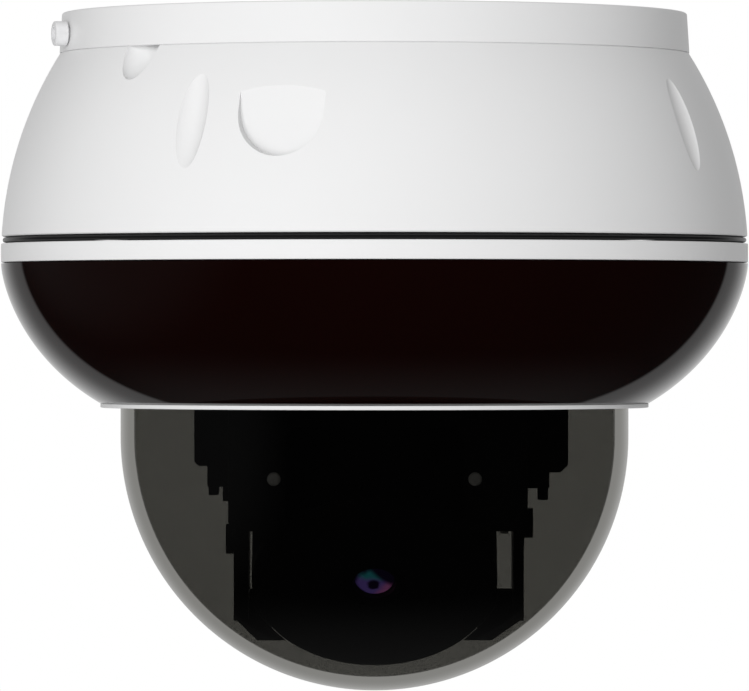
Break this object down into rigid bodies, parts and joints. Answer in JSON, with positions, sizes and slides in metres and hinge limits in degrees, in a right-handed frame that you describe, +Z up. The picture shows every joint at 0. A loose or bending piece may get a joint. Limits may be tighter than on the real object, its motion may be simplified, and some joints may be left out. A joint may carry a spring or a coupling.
{
  "type": "ceiling pan-tilt dome camera",
  "caption": "Ceiling-hung camera: a white round casing with a dark infrared window bowl over a smoked clear dome, in which a black lens unit pans and tilts.",
  "frame": {"origin": "middle of the flat face that lies against the ceiling", "axes": "+Z up into the ceiling, -Y the front, where the lens looks at rest, +X to the right seen from the front"},
  "size_m": [0.2196, 0.2196, 0.199],
  "materials": {
    "white_paint": "satin white paint with a fine texture",
    "black_rubber": "satin",
    "dark_window": "gloss, near-black dark red",
    "smoked_clear": "clear, smoked grey",
    "black_plastic": "matt",
    "coated_glass": "coated lens glass, blue and violet",
    "steel": "bright",
    "aluminium": "bare cast or sheet",
    "circuit_board": "solder mask",
    "brass": "turned",
    "white_acetal": "moulded"
  },
  "bodies": {
    "casing": {"mounting_base": "white_paint", "lock_screw": "steel", "upper_housing": "white_paint", "gasket_stripe": "black_rubber", "trim_band": "white_paint", "ir_window": "dark_window", "dome_ring": "white_paint", "dome_seal": "black_rubber", "dome_bubble": "smoked_clear", "chassis_plate": "aluminium", "chassis_screw_1": "steel", "chassis_screw_2": "steel", "chassis_screw_3": "steel", "chassis_screw_4": "steel", "main_board": "circuit_board", "board_post_1": "brass", "board_post_2": "brass", "board_post_3": "brass", "cable_gland": "black_plastic", "gland_nut": "black_plastic", "ir_board": "circuit_board", "ir_lens_ring": "black_plastic", "ir_post_1": "brass", "ir_post_2": "brass", "ir_post_3": "brass", "bearing_housing": "aluminium", "pan_bearing": "steel", "pan_motor": "steel", "slip_ring_stator": "black_plastic"},
    "pan_unit": {"turntable": "black_plastic", "pan_gear": "white_acetal", "slip_ring_rotor": "brass", "side_pod_left": "black_plastic", "side_pod_right": "black_plastic", "arm_left": "black_plastic", "arm_right": "black_plastic", "tilt_bush_left": "brass", "tilt_bush_right": "brass", "front_mask": "black_plastic", "mask_screw_left": "steel", "mask_screw_right": "steel", "rear_cowl": "black_plastic", "tilt_motor": "steel"},
    "pan_drive": {"pan_pinion": "brass"},
    "tilt_drive": {"tilt_pinion": "brass"},
    "tilt_unit": {"drum_shell": "black_plastic", "drum_rear_cover": "black_plastic", "tilt_axle_left": "steel", "tilt_axle_right": "steel", "tilt_gear": "white_acetal", "lens_bezel": "black_plastic", "image_board": "aluminium"},
    "lens_group": {"lens_barrel": "black_plastic", "front_lens": "coated_glass"}
  },
  "joints": [
    {"name": "pan", "type": "hinge", "parent": "casing", "child": "pan_unit", "pos_m": [0, 0, -0.1071], "axis": [0, 0, 1], "continuous": true},
    {"name": "pan_pinion_spin", "type": "hinge", "parent": "casing", "child": "pan_drive", "pos_m": [0.045, 0, -0.1071], "axis": [0, 0, 1], "continuous": true},
    {"name": "tilt", "type": "hinge", "parent": "pan_unit", "child": "tilt_unit", "pos_m": [0, 0, -0.15], "axis": [1, 0, 0], "range_deg": [-45, 45]},
    {"name": "tilt_pinion_spin", "type": "hinge", "parent": "pan_unit", "child": "tilt_drive", "pos_m": [0, 0, -0.1275], "axis": [1, 0, 0], "range_deg": [-182, 182]},
    {"name": "focus", "type": "slide", "parent": "tilt_unit", "child": "lens_group", "axis": [0, -0.7071, -0.7071], "range_m": [-0.001, 0.001]}
  ],
  "couplings": [
    {"joint": "pan_pinion_spin", "follows": "pan", "ratio": -4},
    {"joint": "tilt_pinion_spin", "follows": "tilt", "ratio": -4}
  ]
}
